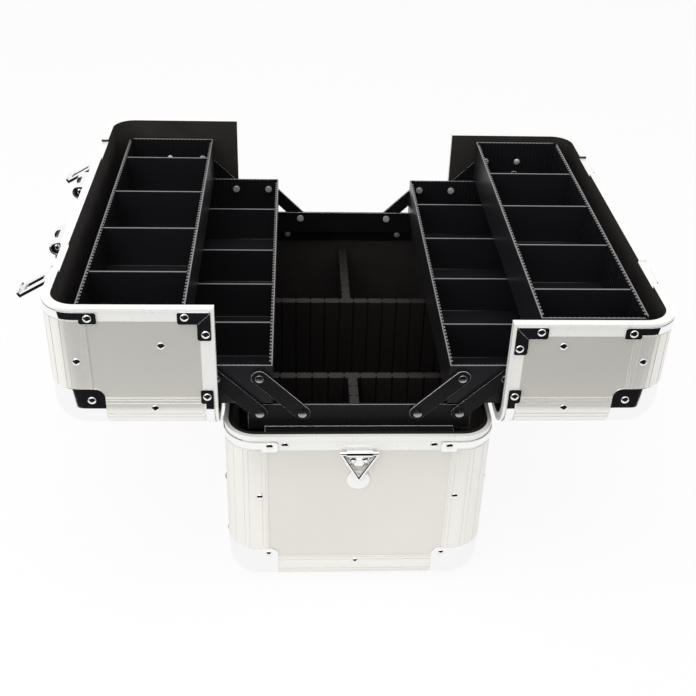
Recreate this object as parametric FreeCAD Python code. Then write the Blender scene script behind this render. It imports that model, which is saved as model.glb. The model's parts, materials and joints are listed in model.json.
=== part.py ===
"""Aluminium tool case with two half lids and four cantilever trays, drawn open.

X runs across the case, Y along it (the front end is at minus Y), Z is up, z = 0 is the
underside. Lids are drawn closed and then swung open about their hinges. Millimetres.
"""
import math
import os

import FreeCAD
import Part

os.makedirs("parts", exist_ok=True)

# Case and wall
case_width = 230.0
case_length = 400.0
base_height = 173.0
closed_height = 309.6
edge_radius = 28.0
skin = 5.0
lining = 2.0
panel_recess = 1.0
edge_leg = 37.0
cap_leg = 46.0
cap_round = 8.0
groove_radius = 0.55
groove_flat_shares = (0.47, 0.82)
groove_turn_shares = (0.17, 0.27, 0.5, 0.73, 0.83)
rim_height = 15.0
bead_height = 5.0
bead_step = 0.6
lid_gap = 0.5
split_x = 6.5
lid_rim_height = 11.5
lid_bead = 2.5
near = 0.001
through = 60.0

# Latch notches in the split rims
latch_end = 85.0
notch_width = 46.0

# Corner clips, corner brackets and rivets
clip_thick = 1.0
clip_low = 5.5
clip_high = 12.5
tab_drop = 16.0
tab_centre = 39.0
tab_width = 14.0
lid_clip_low = 2.9
lid_clip_high = 9.6
lid_tab_drop = 13.4
plate_round = 2.0
bracket_long = 28.5
bracket_tall = 28.5
bracket_wide = 11.0
rivet_radius = 3.5
rivet_height = 1.4
rivet_skirt = 0.6
rivet_shoulder_share = 0.88
rivet_top_share = 0.4
post_rivet_in = 30.0
post_rivet_rise = 4.5
base_cap_in = 37.0
base_cap_up = 39.5
cap_rivet_in = 35.0
mitre_near = 6.9
mitre_far = 22.6
lid_post_in = 26.5
lid_post_along = 72.6
lid_edge_in = 27.0
lid_edge_along = 50.8

# Piano hinges
hinge_out = 2.2
hinge_up = 0.3
knuckle_radius = 2.1
hinge_pin_radius = 1.2
hinge_bore_radius = 1.25
leaf_thick = 1.0
leaf_start = 2.3
leaf_end = 11.0
hinge_end_gap = 4.0
knuckle_count = 8
knuckle_gap = 0.3

# Arm plates, arms and pivots
arm_step_share = 0.27276
pivot_rise_share = 0.4102
pivot_inner_x = 48.5
pivot_pitch_x = 35.5
plate_end = 10.0
flange_end = 4.0
plate_thick = 2.0
flange_drop = 18.0
shelf_drop = 1.0
plate_over = 7.0
fix_rivet_x = 63.0
fix_rivet_drop = 10.0
arm_room = 9.0
arm_gap = 0.3
arm_thick = 2.0
arm_width = 13.5
pin_radius = 2.5
pin_clear = 0.05
pin_head_radius = 3.6
pin_head_thick = 1.6

# Trays
tray_wall = 2.0
tray_clip = 4.5
tray_lift = 1.5
lower_centre_gap = 2.3
upper_centre_gap = 1.6
lower_side_room = 17.0
upper_side_room = 19.5
lower_over_share = 0.3155
upper_over_share = 0.6168
tray_gap_share = 0.1132
spare_rivet_in = 11.0
upper_rivet_in = 41.7
divider_thick = 1.5
divider_drop = 1.5
divider_side_gap = 0.2
upper_left_shares = (0.739, 0.288, -0.141, -0.585)
upper_right_shares = (0.563, 0.147, -0.294, -0.731)
lower_left_shares = (0.602, 0.105, -0.257, -0.622)
lower_right_shares = (0.681, 0.255, -0.193, -0.634)

# Lid brackets that carry the upper trays
stud_radius = 2.5
stud_plate_thick = 2.0
stud_plate_width = 12.0
stud_rivet_in_share = 0.789
stud_rivet_up_share = 0.5233

# Dividers in the base
cross_divider_y = 70.0
base_divider_thick = 9.0
base_divider_drop = 12.0
base_divider_gap = 0.2

# Handle
handle_y = 57.3
handle_in = 3.25
handle_up = 8.5
ear_thick = 3.0
ear_gap = 15.0
ear_radius = 6.5
ear_plate = 2.0
ear_roof = 1.5
ear_cup = 6.75
handle_pin_radius = 2.0
handle_pin_clear = 0.05
handle_eye_radius = 4.6
handle_eye_half = 7.0
handle_leg = 34.0
grip_radius = 8.0

# Latches
latch_width = 24.0
latch_in = 18.0
latch_up = 6.0
latch_plate_thick = 1.5
latch_ear_thick = 2.0
lever_half = 9.0
lever_thick = 3.0
lever_reach = 32.0
lever_eye_radius = 3.4
hook_thick = 2.5
hook_drop = 3.6
hook_clear = 1.0
catch_lip = 3.0
catch_height = 3.4
catch_end = 15.0
lever_pin_radius = 1.5
lever_pin_clear = 0.05
latch_open_angle = 120.0

# Strap rings
ring_below_rim = 0.4
ring_out = 4.3
ring_wire = 1.75
ring_half = 15.5
ring_drop = 28.0
ring_clear = 0.05
strap_half = 11.0
strap_drop = 16.0
strap_thick = 1.5
strap_loop_radius = 3.2
bumper_radius = 10.0
bumper_thick = 2.2
bumper_drop = 31.0

# Sizes worked out from the ones above
half_x = case_width / 2
half_y = case_length / 2
wall = skin + lining
wall_top = base_height - rim_height
lid_low = base_height + lid_gap
hinge_x = half_x + hinge_out
hinge_z = base_height + hinge_up
latch_y = half_y - latch_end
hinge_length = case_length - (tab_centre + tab_width / 2 + hinge_end_gap) * 2
end_face = half_y - wall - arm_room
arm_step = (closed_height - wall - base_height) * arm_step_share
pivot_z = base_height + arm_step * pivot_rise_share
pivot_outer_x = pivot_inner_x + pivot_pitch_x
plate_half = pivot_outer_x + plate_end
plate_top = pivot_z + plate_over
shelf_top = base_height - shelf_drop
flange_low = base_height - flange_drop
flange_half = pivot_outer_x - flange_end
fix_rivet_z = base_height - fix_rivet_drop
lower_pivot_z = pivot_z + arm_step
upper_pivot_z = lower_pivot_z + arm_step
lower_inner = arm_step * 2 + lower_centre_gap
lower_outer = lower_inner + half_x - wall - lower_side_room
lower_low = plate_top + tray_lift
lower_top = lower_pivot_z + arm_step * lower_over_share
upper_inner = arm_step * 4 + upper_centre_gap
upper_outer = upper_inner + half_x - wall - upper_side_room
upper_low = lower_top + arm_step * tray_gap_share
upper_top = upper_pivot_z + arm_step * upper_over_share
stud_x = hinge_x + arm_step * 2
stud_z = hinge_z + arm_step * 2
base_divider_top = wall_top - base_divider_drop
ring_z = wall_top - ring_below_rim
strap_low = ring_z - strap_drop
bumper_z = ring_z - bumper_drop
arm_low_y = end_face + arm_gap
arm_high_y = arm_low_y + arm_thick
pin_outer_y = arm_high_y + arm_gap
lid_face = closed_height - panel_recess

ENDS = (-1, 1)
SIDES = (-1, 1)


def vec(x, y, z):
    return FreeCAD.Vector(x, y, z)


def block(x0, x1, y0, y1, z0, z1):
    """A box between two corners given in any order."""
    low = vec(min(x0, x1), min(y0, y1), min(z0, z1))
    high = vec(max(x0, x1), max(y0, y1), max(z0, z1))
    size = high - low
    return Part.makeBox(size.x, size.y, size.z, low)


def rod(start, end, radius):
    """A round bar between two points."""
    along = end - start
    return Part.makeCylinder(radius, along.Length, start, along)


def rod_y(x, z, radius, y0, y1):
    return rod(vec(x, y0, z), vec(x, y1, z), radius)


def plate_y(x0, x1, y0, y1, z0, z1):
    """A thin plate in an X-Z plane with rounded corners."""
    plate = block(x0, x1, y0, y1, z0, z1)
    corners = [edge for edge in plate.Edges if abs(edge.Length - abs(y1 - y0)) < near]
    return plate.makeFillet(plate_round, corners)


def save(name, solids):
    """One step file for one named node."""
    shapes = []
    for item in solids:
        shapes.extend(item.Solids)
    Part.makeCompound(shapes).exportStep("parts/" + name + ".step")


def rivet(foot, outward):
    """A low rivet head standing on a face: a steep skirt and a flat crown."""
    shoulder = rivet_radius * rivet_shoulder_share
    crown_foot = foot + outward * rivet_skirt
    skirt = Part.makeCone(rivet_radius, shoulder, rivet_skirt, foot, outward)
    peak = rivet_radius * rivet_top_share
    crown = Part.makeCone(shoulder, peak, rivet_height - rivet_skirt, crown_foot, outward)
    return skirt.fuse(crown)


def strip(points, width, y0, y1, hole_radius):
    """A flat bar with round ends over pivot points in an X-Z plane, with a hole at each point."""
    bar = None
    for start, end in zip(points[:-1], points[1:]):
        run = vec(end[0] - start[0], 0, end[1] - start[1])
        side = vec(-run.z, 0, run.x)
        side.normalize()
        side = side * (width / 2)
        a = vec(start[0], y0, start[1])
        b = vec(end[0], y0, end[1])
        face = Part.Face(Part.makePolygon([a + side, b + side, b - side, a - side, a + side]))
        piece = face.extrude(vec(0, y1 - y0, 0))
        bar = piece if bar is None else bar.fuse(piece)
    for x, z in points:
        bar = bar.fuse(rod_y(x, z, width / 2, y0, y1))
    bar = bar.removeSplitter()
    for x, z in points:
        bar = bar.cut(rod_y(x, z, hole_radius, y0 - through, y1 + through))
    return bar


def rounded(box, inset, beyond):
    """The rounded box, its closed faces moved in by inset and its open faces out by beyond."""
    names = ("x0", "x1", "y0", "y1", "z0", "z1")
    inward = (1, -1, 1, -1, 1, -1)
    place = {}
    for name, sign in zip(names, inward):
        move = -beyond if name in box["open"] else inset
        place[name] = box[name] + sign * move
    solid = block(place["x0"], place["x1"], place["y0"], place["y1"], place["z0"], place["z1"])
    edges = []
    for edge in solid.Edges:
        middle = edge.CenterOfMass
        touched = 0
        for name in names:
            if name not in box["open"] and abs(getattr(middle, name[0]) - place[name]) < near:
                touched += 1
        if touched == 2:
            edges.append(edge)
    return solid.makeFillet(edge_radius - inset, edges)


def walls(box, outer, inner):
    """The open shell between two insets of a rounded box."""
    return rounded(box, outer, 0).cut(rounded(box, inner, through))


def cells(shape, xs, ys, zs):
    """The shape cut along planes into simple solids."""
    solids = []
    box = shape.BoundBox
    edges_x = [box.XMin - skin] + list(xs) + [box.XMax + skin]
    edges_y = [box.YMin - skin] + list(ys) + [box.YMax + skin]
    edges_z = [box.ZMin - skin] + list(zs) + [box.ZMax + skin]
    for x0, x1 in zip(edges_x[:-1], edges_x[1:]):
        for y0, y1 in zip(edges_y[:-1], edges_y[1:]):
            for z0, z1 in zip(edges_z[:-1], edges_z[1:]):
                solids.extend(shape.common(block(x0, x1, y0, y1, z0, z1)).Solids)
    return solids


def groove_rods(along, centre, outward, low, high):
    """Thin bars on the outside of one rounded edge; cut away, they leave its extruded grooves.

    along is the edge's axis, centre and outward the two other coordinates in X, Y, Z order.
    """
    first, second = centre
    out_first, out_second = outward
    spots = []
    for share in groove_turn_shares:
        turn = math.radians(90 * share)
        spots.append((first + out_first * edge_radius * math.cos(turn),
                      second + out_second * edge_radius * math.sin(turn)))
    for share in groove_flat_shares:
        step = (edge_leg - edge_radius) * share
        spots.append((first + out_first * edge_radius, second - out_second * step))
        spots.append((first - out_first * step, second + out_second * edge_radius))
    rods = []
    for a, b in spots:
        ends = []
        for place in (low, high):
            spot = [a, b]
            spot.insert("xyz".index(along), place)
            ends.append(vec(*spot))
        rods.append(rod(ends[0], ends[1], groove_radius))
    return rods


def cap_block(x0, x1, y0, y1, z0, z1):
    """The space of a ball corner: its far corner (x1, y1, z1) is outside, its inner edges are rounded."""
    space = block(x0, x1, y0, y1, z0, z1)
    inner = {"x": x0, "y": y0, "z": z0}
    edges = []
    for edge in space.Edges:
        middle = edge.CenterOfMass
        touched = 0
        for name in inner:
            if abs(getattr(middle, name) - inner[name]) < near:
                touched += 1
        if touched == 2:
            edges.append(edge)
    return space.makeFillet(cap_round, edges)


def base_box(low, high, open_faces):
    return {"x0": -half_x, "x1": half_x, "y0": -half_y, "y1": half_y, "z0": low, "z1": high,
            "open": open_faces}


base_wall_box = base_box(0, wall_top, ("z1",))
base_rim_box = base_box(wall_top, base_height, ("z0", "z1"))
round_x = half_x - edge_radius
round_y = half_y - edge_radius


def build_base_walls():
    """Panels, edge extrusions and ball corners of the lower box."""
    shell = walls(base_wall_box, 0, skin)
    caps = []
    posts = []
    edges = []
    far_x = half_x + skin
    far_y = half_y + skin
    for sx in SIDES:
        for sy in ENDS:
            corner = cap_block(sx * (half_x - cap_leg), sx * far_x, sy * (half_y - cap_leg), sy * far_y,
                               cap_leg, -skin)
            caps.append(shell.common(corner))
            post = block(sx * (half_x - edge_leg), sx * far_x, sy * (half_y - edge_leg), sy * far_y,
                         cap_leg, wall_top)
            rods = groove_rods("z", (sx * round_x, sy * round_y), (sx, sy), 0, base_height)
            posts.append(shell.common(post).cut(rods))
    for sy in ENDS:
        run = block(-(half_x - cap_leg), half_x - cap_leg, sy * (half_y - edge_leg), sy * far_y,
                    -skin, edge_leg)
        rods = groove_rods("x", (sy * round_y, edge_radius), (sy, -1), -half_x, half_x)
        edges.append(shell.common(run).cut(rods))
    for sx in SIDES:
        run = block(sx * (half_x - edge_leg), sx * far_x, -(half_y - cap_leg), half_y - cap_leg,
                    -skin, edge_leg)
        rods = groove_rods("y", (sx * round_x, edge_radius), (sx, -1), -half_y, half_y)
        edges.append(shell.common(run).cut(rods))
    flat_x = half_x - edge_leg
    flat_y = half_y - edge_leg
    ends = []
    for sy in ENDS:
        ends.append(block(-flat_x, flat_x, sy * (half_y - panel_recess), sy * (half_y - skin),
                          edge_leg, wall_top))
    sides = []
    for sx in SIDES:
        sides.append(block(sx * (half_x - panel_recess), sx * (half_x - skin), -flat_y, flat_y,
                           edge_leg, wall_top))
    bottom = block(-flat_x, flat_x, -flat_y, flat_y, 0, skin)
    save("base_end_panels", [panel.cut(caps) for panel in ends])
    save("base_side_panels", [panel.cut(caps) for panel in sides])
    save("base_bottom_panel", [bottom.cut(caps)])
    save("base_corner_posts", posts)
    save("base_bottom_edges", edges)
    save("base_ball_corners", caps)
    lining_shell = walls(base_wall_box, skin, wall)
    save("base_lining", cells(lining_shell, (-round_x, round_x), (-round_y, round_y), (edge_radius,)))


def build_base_rim():
    """The rim channel with its proud bead, and the four clips round its corners."""
    flange_box = base_box(wall_top, base_height - bead_height, ("z0", "z1"))
    bead_box = base_box(base_height - bead_height, base_height, ("z0", "z1"))
    ring = walls(bead_box, 0, wall).fuse(walls(flange_box, bead_step, wall))
    save("base_rim", cells(ring, (-round_x, round_x), (-round_y, round_y), ()))
    band_box = base_box(base_height - clip_high, base_height - clip_low, ("z0", "z1"))
    band = walls(band_box, -clip_thick, bead_step)
    clips = []
    for sx in SIDES:
        for sy in ENDS:
            tab_x = half_x - tab_centre
            tab_y = half_y - tab_centre
            far = half_y + through
            clip = band.common(block(sx * tab_x, sx * far, sy * tab_y, sy * far, 0, far))
            end_tab = plate_y(sx * (tab_x - tab_width / 2), sx * (tab_x + tab_width / 2), sy * half_y,
                              sy * (half_y + clip_thick), base_height - tab_drop, base_height - clip_low)
            side_tab = block(sx * half_x, sx * (half_x + clip_thick), sy * (tab_y - tab_width / 2),
                             sy * (tab_y + tab_width / 2), base_height - tab_drop, base_height - clip_low)
            clips.append(clip.fuse([end_tab, side_tab]).removeSplitter())
    save("base_rim_clips", clips)


def build_base_rivets():
    """Rivet heads on the outside, plate rivets inside, and the arm pivot pins."""
    heads = []
    post_z = (cap_leg + wall_top) / 2 + post_rivet_rise
    for sy in ENDS:
        out = vec(0, sy, 0)
        for sx in SIDES:
            tab = vec(sx * (half_x - tab_centre), sy * (half_y + clip_thick), fix_rivet_z)
            heads.append(rivet(tab, out))
            heads.append(rivet(vec(sx * fix_rivet_x, sy * (half_y - bead_step), fix_rivet_z), out))
            inside = vec(sx * fix_rivet_x, sy * (half_y - wall - plate_thick), fix_rivet_z)
            heads.append(rivet(inside, out * -1))
            heads.append(rivet(vec(sx * (half_x - post_rivet_in), sy * half_y, post_z), out))
            heads.append(rivet(vec(sx * (half_x - base_cap_in), sy * half_y, base_cap_up), out))
        heads.append(rivet(vec(0, sy * half_y, post_rivet_in), out))
    for sx in SIDES:
        out = vec(sx, 0, 0)
        for sy in ENDS:
            tab = vec(sx * (half_x + clip_thick), sy * (half_y - tab_centre), fix_rivet_z)
            heads.append(rivet(tab, out))
            heads.append(rivet(vec(sx * half_x, sy * (half_y - post_rivet_in), post_z), out))
            heads.append(rivet(vec(sx * half_x, sy * (half_y - base_cap_in), base_cap_up), out))
        heads.append(rivet(vec(sx * half_x, 0, post_rivet_in), out))
    for sx in SIDES:
        for sy in ENDS:
            for x in (pivot_inner_x, pivot_outer_x):
                heads.append(pivot_pin(sx * x, pivot_z, sy))
    save("base_rivets", heads)


def pivot_pin(x, z, sy):
    """A headed pin through an end face and the arm outside it."""
    inner = end_face - plate_thick
    shank = rod_y(x, z, pin_radius, sy * inner, sy * pin_outer_y)
    tail = rod_y(x, z, pin_head_radius, sy * (inner - pin_head_thick), sy * inner)
    head = rod_y(x, z, pin_head_radius, sy * pin_outer_y, sy * (pin_outer_y + pin_head_thick))
    return shank.fuse([tail, head]).removeSplitter()


def build_arm_plates():
    """Folded steel plates inside the end walls that carry the arms."""
    for sy, name in zip(ENDS, ("front_arm_plate", "back_arm_plate")):
        seat = half_y - wall
        flange = block(-flange_half, flange_half, sy * (seat - plate_thick), sy * seat,
                       flange_low, shelf_top)
        shelf = block(-flange_half, flange_half, sy * (end_face - plate_thick), sy * seat,
                      shelf_top - plate_thick, shelf_top)
        web = block(-plate_half, plate_half, sy * (end_face - plate_thick), sy * end_face,
                    shelf_top - plate_thick, plate_top)
        plate = flange.fuse([shelf, web]).removeSplitter()
        for sx in SIDES:
            for x in (pivot_inner_x, pivot_outer_x):
                plate = plate.cut(rod_y(sx * x, pivot_z, pin_radius, -half_y, half_y))
        save(name, [plate])


def build_base_dividers():
    """Two thick boards across the base and a short centre board at each end."""
    room = rounded(base_wall_box, wall + base_divider_gap, through)
    half = base_divider_thick / 2
    boards = []
    for sy in ENDS:
        across = block(-half_x, half_x, sy * (cross_divider_y - half), sy * (cross_divider_y + half),
                       0, base_divider_top)
        along = block(-half, half, sy * (cross_divider_y + half), sy * half_y, 0, base_divider_top)
        boards.append(across.common(room))
        boards.append(along.common(room))
    save("base_dividers", boards)


def hinge_leaf(sx, up, first):
    """A hinge leaf with every other knuckle; up is 1 for the lid leaf and -1 for the base leaf."""
    pitch = hinge_length / knuckle_count
    face = sx * half_x
    leaf = block(face, face + sx * leaf_thick, -hinge_length / 2, hinge_length / 2,
                 hinge_z + up * leaf_start, hinge_z + up * leaf_end)
    for index in range(first, knuckle_count, 2):
        y0 = -hinge_length / 2 + index * pitch + knuckle_gap
        y1 = y0 + pitch - knuckle_gap * 2
        neck = block(face + sx * (hinge_out - knuckle_radius), face + sx * leaf_thick, y0, y1,
                     hinge_z, hinge_z + up * leaf_start)
        root = block(face, face + sx * leaf_thick, y0, y1, hinge_z + up * knuckle_radius,
                     hinge_z + up * leaf_start)
        leaf = leaf.fuse([neck, root, rod_y(sx * hinge_x, hinge_z, knuckle_radius, y0, y1)])
    leaf = leaf.removeSplitter()
    return leaf.cut(rod_y(sx * hinge_x, hinge_z, hinge_bore_radius, -half_y, half_y))


def build_base_hinges():
    """The base leaves and the long pins of both piano hinges."""
    leaves = []
    pins = []
    for sx in SIDES:
        leaves.append(hinge_leaf(sx, -1, 0))
        pins.append(rod_y(sx * hinge_x, hinge_z, hinge_pin_radius, -hinge_length / 2, hinge_length / 2))
    save("base_hinge_leaves", leaves)
    save("hinge_pins", pins)


def build_strap_rings():
    """A rolled strap plate, a round bumper and a triangular ring on each end."""
    plates = []
    bumpers = []
    for sy, name in zip(ENDS, ("front_strap_ring", "back_strap_ring")):
        seat = half_y - panel_recess
        ring_y = sy * (seat + ring_out)
        plate = block(-strap_half, strap_half, sy * seat, sy * (seat + strap_thick), strap_low,
                      wall_top)
        arm = block(-strap_half, strap_half, sy * seat, ring_y, ring_z - strap_loop_radius, ring_z)
        loop = rod(vec(-strap_half, ring_y, ring_z), vec(strap_half, ring_y, ring_z), strap_loop_radius)
        plate = plate.fuse([arm, loop]).removeSplitter()
        hole = rod(vec(-half_x, ring_y, ring_z), vec(half_x, ring_y, ring_z), ring_wire + ring_clear)
        plates.append(plate.cut(hole))
        for sx in SIDES:
            rivet_z = (strap_low + ring_z) / 2 - strap_thick
            foot = vec(sx * strap_half / 2, sy * (seat + strap_thick), rivet_z)
            plates.append(rivet(foot, vec(0, sy, 0)))
        bumpers.append(rod_y(0, bumper_z, bumper_radius, sy * seat, sy * (seat + bumper_thick)))
        left = vec(-ring_half, ring_y, ring_z)
        right = vec(ring_half, ring_y, ring_z)
        apex = vec(0, ring_y, ring_z - ring_drop)
        ring = rod(left, right, ring_wire)
        ring = ring.fuse([rod(right, apex, ring_wire), rod(apex, left, ring_wire)])
        for point in (left, right, apex):
            ring = ring.fuse(Part.makeSphere(ring_wire, point))
        save(name, [ring])
    save("strap_plates", plates)
    save("strap_bumpers", bumpers)


def swing(shape, sx):
    """A closed lid piece turned to its open place."""
    turned = shape.copy()
    turned.rotate(vec(sx * hinge_x, 0, hinge_z), vec(0, 1, 0), sx * 90)
    return turned


def save_lid(name, solids, sx):
    """One step file for lid pieces, swung open."""
    opened = []
    for item in solids:
        for solid in item.Solids:
            opened.append(swing(solid, sx))
    save(name, opened)


def lid_box(sx):
    """The closed lid: open below and at the split."""
    inner = split_x + sx * lid_gap / 2
    if sx < 0:
        return {"x0": -half_x, "x1": inner, "y0": -half_y, "y1": half_y, "z0": lid_low,
                "z1": closed_height, "open": ("x1", "z0")}
    return {"x0": inner, "x1": half_x, "y0": -half_y, "y1": half_y, "z0": lid_low,
            "z1": closed_height, "open": ("x0", "z0")}


def build_lid_walls(sx, side):
    """Panels, edge extrusions, ball corners and lining of one lid."""
    box = lid_box(sx)
    shell = walls(box, 0, skin)
    out = sx * half_x
    inner = split_x + sx * lid_gap / 2 + sx * lid_rim_height
    low = lid_low + lid_rim_height
    top = closed_height
    over = top + skin
    beyond = sx * (half_x + skin)
    far_y = half_y + skin
    caps = []
    edges = []
    ends = []
    flat_x = out - sx * edge_leg
    flat_y = half_y - edge_leg
    for sy in ENDS:
        corner = cap_block(out - sx * cap_leg, beyond, sy * (half_y - cap_leg), sy * far_y,
                           top - cap_leg, over)
        caps.append(shell.common(corner))
        over_edge = block(out - sx * cap_leg, inner, sy * flat_y, sy * far_y, top - edge_leg, over)
        rods = groove_rods("x", (sy * round_y, top - edge_radius), (sy, 1), -half_x, half_x)
        edges.append(shell.common(over_edge).cut(rods))
        side_edge = block(flat_x, beyond, sy * flat_y, sy * far_y, low, top - cap_leg)
        rods = groove_rods("z", (sx * round_x, sy * round_y), (sx, sy), 0, top)
        edges.append(shell.common(side_edge).cut(rods))
        ends.append(block(flat_x, inner, sy * (half_y - panel_recess), sy * (half_y - skin),
                          low, top - edge_leg))
    long_edge = block(flat_x, beyond, -(half_y - cap_leg), half_y - cap_leg, top - edge_leg, over)
    rods = groove_rods("y", (sx * round_x, top - edge_radius), (sx, 1), -half_y, half_y)
    edges.append(shell.common(long_edge).cut(rods))
    roof = block(flat_x, inner, -flat_y, flat_y, top - skin, lid_face)
    flank = block(out - sx * panel_recess, out - sx * skin, -flat_y, flat_y, low, top - edge_leg)
    panels = [panel.cut(caps) for panel in ends + [roof, flank]]
    save_lid(side + "_lid_panels", panels, sx)
    save_lid(side + "_lid_edges", edges, sx)
    save_lid(side + "_lid_ball_corners", caps, sx)
    inside = walls(box, skin, wall).common(block(inner, beyond, -far_y, far_y, low, over))
    boards = cells(inside, (sx * round_x,), (-round_y, round_y), (top - edge_radius,))
    save_lid(side + "_lid_lining", boards, sx)


def build_lid_rim(sx, side):
    """The rim round the two openings of one lid, with its latch notches."""
    box = lid_box(sx)
    edge = split_x + sx * lid_gap / 2
    far = half_y + through
    full = walls(box, 0, wall)
    thin = walls(box, bead_step, wall)
    bead_low = full.common(block(-far, far, -far, far, 0, lid_low + lid_bead))
    band_low = thin.common(block(-far, far, -far, far, lid_low + lid_bead, lid_low + lid_rim_height))
    upper = block(edge, edge + sx * lid_bead, -far, far, lid_low + lid_bead, closed_height + far)
    bead_split = full.common(upper)
    upper = block(edge + sx * lid_bead, edge + sx * lid_rim_height, -far, far, lid_low + lid_rim_height,
                  closed_height + far)
    band_split = thin.common(upper)
    upper = block(edge + sx * lid_bead, edge, -far, far, lid_low + lid_bead, lid_low + lid_rim_height)
    band_low = band_low.cut(upper)
    rim = bead_low.fuse([band_low, bead_split, band_split])
    for sy in ENDS:
        notch = block(edge, edge + sx * lid_bead, sy * (latch_y - notch_width / 2),
                      sy * (latch_y + notch_width / 2), closed_height - edge_radius, closed_height + skin)
        rim = rim.cut(notch)
    pieces = cells(rim, (sx * round_x, edge + sx * lid_rim_height), (-round_y, round_y),
                   (lid_low + lid_rim_height, closed_height - edge_radius))
    save_lid(side + "_lid_rim", pieces, sx)


def lid_clip(sx, sy, at_split):
    """A clip round one rim corner: at the split it wraps the top corner, else the side corner."""
    box = lid_box(sx)
    edge = split_x + sx * lid_gap / 2
    band = walls(box, -clip_thick, bead_step)
    far = half_y + through
    tab_y = half_y - tab_centre
    if at_split:
        near_x = edge + sx * lid_clip_low
        tab_z = closed_height - tab_centre
        piece = band.common(block(near_x, edge + sx * lid_clip_high, sy * tab_y, sy * far, tab_z, far + far))
        end_tab = plate_y(near_x, edge + sx * lid_tab_drop, sy * half_y, sy * (half_y + clip_thick),
                          tab_z - tab_width / 2, tab_z + tab_width / 2)
        top_tab = block(near_x, edge + sx * lid_tab_drop, sy * (tab_y - tab_width / 2),
                        sy * (tab_y + tab_width / 2), closed_height, closed_height + clip_thick)
        return piece.fuse([end_tab, top_tab]).removeSplitter()
    near_z = lid_low + lid_clip_low
    tab_x = half_x - tab_centre
    piece = band.common(block(sx * tab_x, sx * far, sy * tab_y, sy * far, near_z, lid_low + lid_clip_high))
    end_tab = plate_y(sx * (tab_x - tab_width / 2), sx * (tab_x + tab_width / 2), sy * half_y,
                      sy * (half_y + clip_thick), near_z, lid_low + lid_tab_drop)
    return piece.fuse(end_tab).removeSplitter()


def build_lid_brackets(sx, side):
    """Corner clips and the mitred brackets where the two rims of a lid meet."""
    edge = split_x + sx * lid_gap / 2
    pieces = []
    for sy in ENDS:
        pieces.append(lid_clip(sx, sy, True))
        pieces.append(lid_clip(sx, sy, False))
        face = sy * (half_y - bead_step)
        outer = sy * (half_y + clip_thick)
        near_x = edge + sx * lid_bead
        near_z = lid_low + lid_bead
        along = plate_y(near_x, edge + sx * bracket_long, face, outer, near_z, near_z + bracket_wide)
        up = plate_y(near_x, near_x + sx * bracket_wide, face, outer, near_z, lid_low + bracket_tall)
        pieces.append(along.fuse(up).removeSplitter())
    save_lid(side + "_lid_brackets", pieces, sx)


def build_lid_rivets(sx, side):
    """Rivet heads on the two end walls and the outer faces of one lid."""
    edge = split_x + sx * lid_gap / 2
    out = sx * half_x
    heads = []
    low_clip = lid_low + (lid_clip_low + lid_tab_drop) / 2
    split_clip = edge + sx * (lid_clip_low + lid_tab_drop) / 2
    for sy in ENDS:
        away = vec(0, sy, 0)
        proud = sy * (half_y + clip_thick)
        flush = sy * half_y
        heads.append(rivet(vec(split_clip, proud, closed_height - tab_centre), away))
        heads.append(rivet(vec(sx * (half_x - tab_centre), proud, low_clip), away))
        heads.append(rivet(vec(edge + sx * mitre_near, proud, lid_low + mitre_far), away))
        heads.append(rivet(vec(edge + sx * mitre_far, proud, lid_low + mitre_near), away))
        middle_x = (edge + out) / 2
        heads.append(rivet(vec(out - sx * lid_post_along, flush, closed_height - lid_post_in), away))
        heads.append(rivet(vec(out - sx * lid_edge_in, flush, lid_low + lid_edge_along), away))
        heads.append(rivet(vec(out - sx * cap_rivet_in, flush, closed_height - cap_rivet_in), away))
        px, pz = stud_rivet_closed(sx)
        heads.append(rivet(vec(px, sy * (half_y - panel_recess), pz), away))
        top_y = sy * (half_y - tab_centre)
        heads.append(rivet(vec(split_clip, top_y, closed_height + clip_thick), vec(0, 0, 1)))
        heads.append(rivet(vec(middle_x, sy * (half_y - post_rivet_in), closed_height), vec(0, 0, 1)))
    save_lid(side + "_lid_rivets", heads, sx)


def stud_rivet_closed(sx):
    """The closed place of the rivet that holds a stud bracket, from its open place."""
    run = arm_step * 2 - arm_step * stud_rivet_in_share
    rise = arm_step * 2 + arm_step * stud_rivet_up_share
    return sx * (hinge_x - rise), hinge_z + run


def build_tray_studs(sx, side):
    """Steel brackets in the lid, each with the stud on which the upper tray turns."""
    reach = arm_step * 2
    closed_x = sx * (hinge_x - reach)
    closed_z = hinge_z + reach
    rivet_x, rivet_z = stud_rivet_closed(sx)
    pieces = []
    for sy in ENDS:
        seat = sy * (half_y - wall)
        face = sy * (half_y - wall - stud_plate_thick)
        bar = strip([(closed_x, closed_z), (rivet_x, rivet_z)], stud_plate_width, face, seat, stud_radius)
        bar = bar.fuse(rod_y(rivet_x, rivet_z, stud_radius, face, seat))
        stud = rod_y(closed_x, closed_z, stud_radius, sy * (end_face - plate_thick), seat)
        collar = rod_y(closed_x, closed_z, pin_head_radius, sy * pin_outer_y, face)
        tray_face = end_face - plate_thick
        nose = rod_y(closed_x, closed_z, pin_head_radius, sy * (tray_face - pin_head_thick - arm_gap),
                     sy * (tray_face - arm_gap))
        neck = rod_y(closed_x, closed_z, stud_radius, sy * (tray_face - pin_head_thick), seat)
        pieces.append(bar.fuse([stud, collar, nose, neck]).removeSplitter())
    save_lid(side + "_tray_studs", pieces, sx)


def build_lid(sx, side):
    build_lid_walls(sx, side)
    build_lid_rim(sx, side)
    build_lid_brackets(sx, side)
    build_lid_rivets(sx, side)
    build_tray_studs(sx, side)
    save_lid(side + "_lid_hinge_leaf", [hinge_leaf(sx, 1, 1)], sx)


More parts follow.
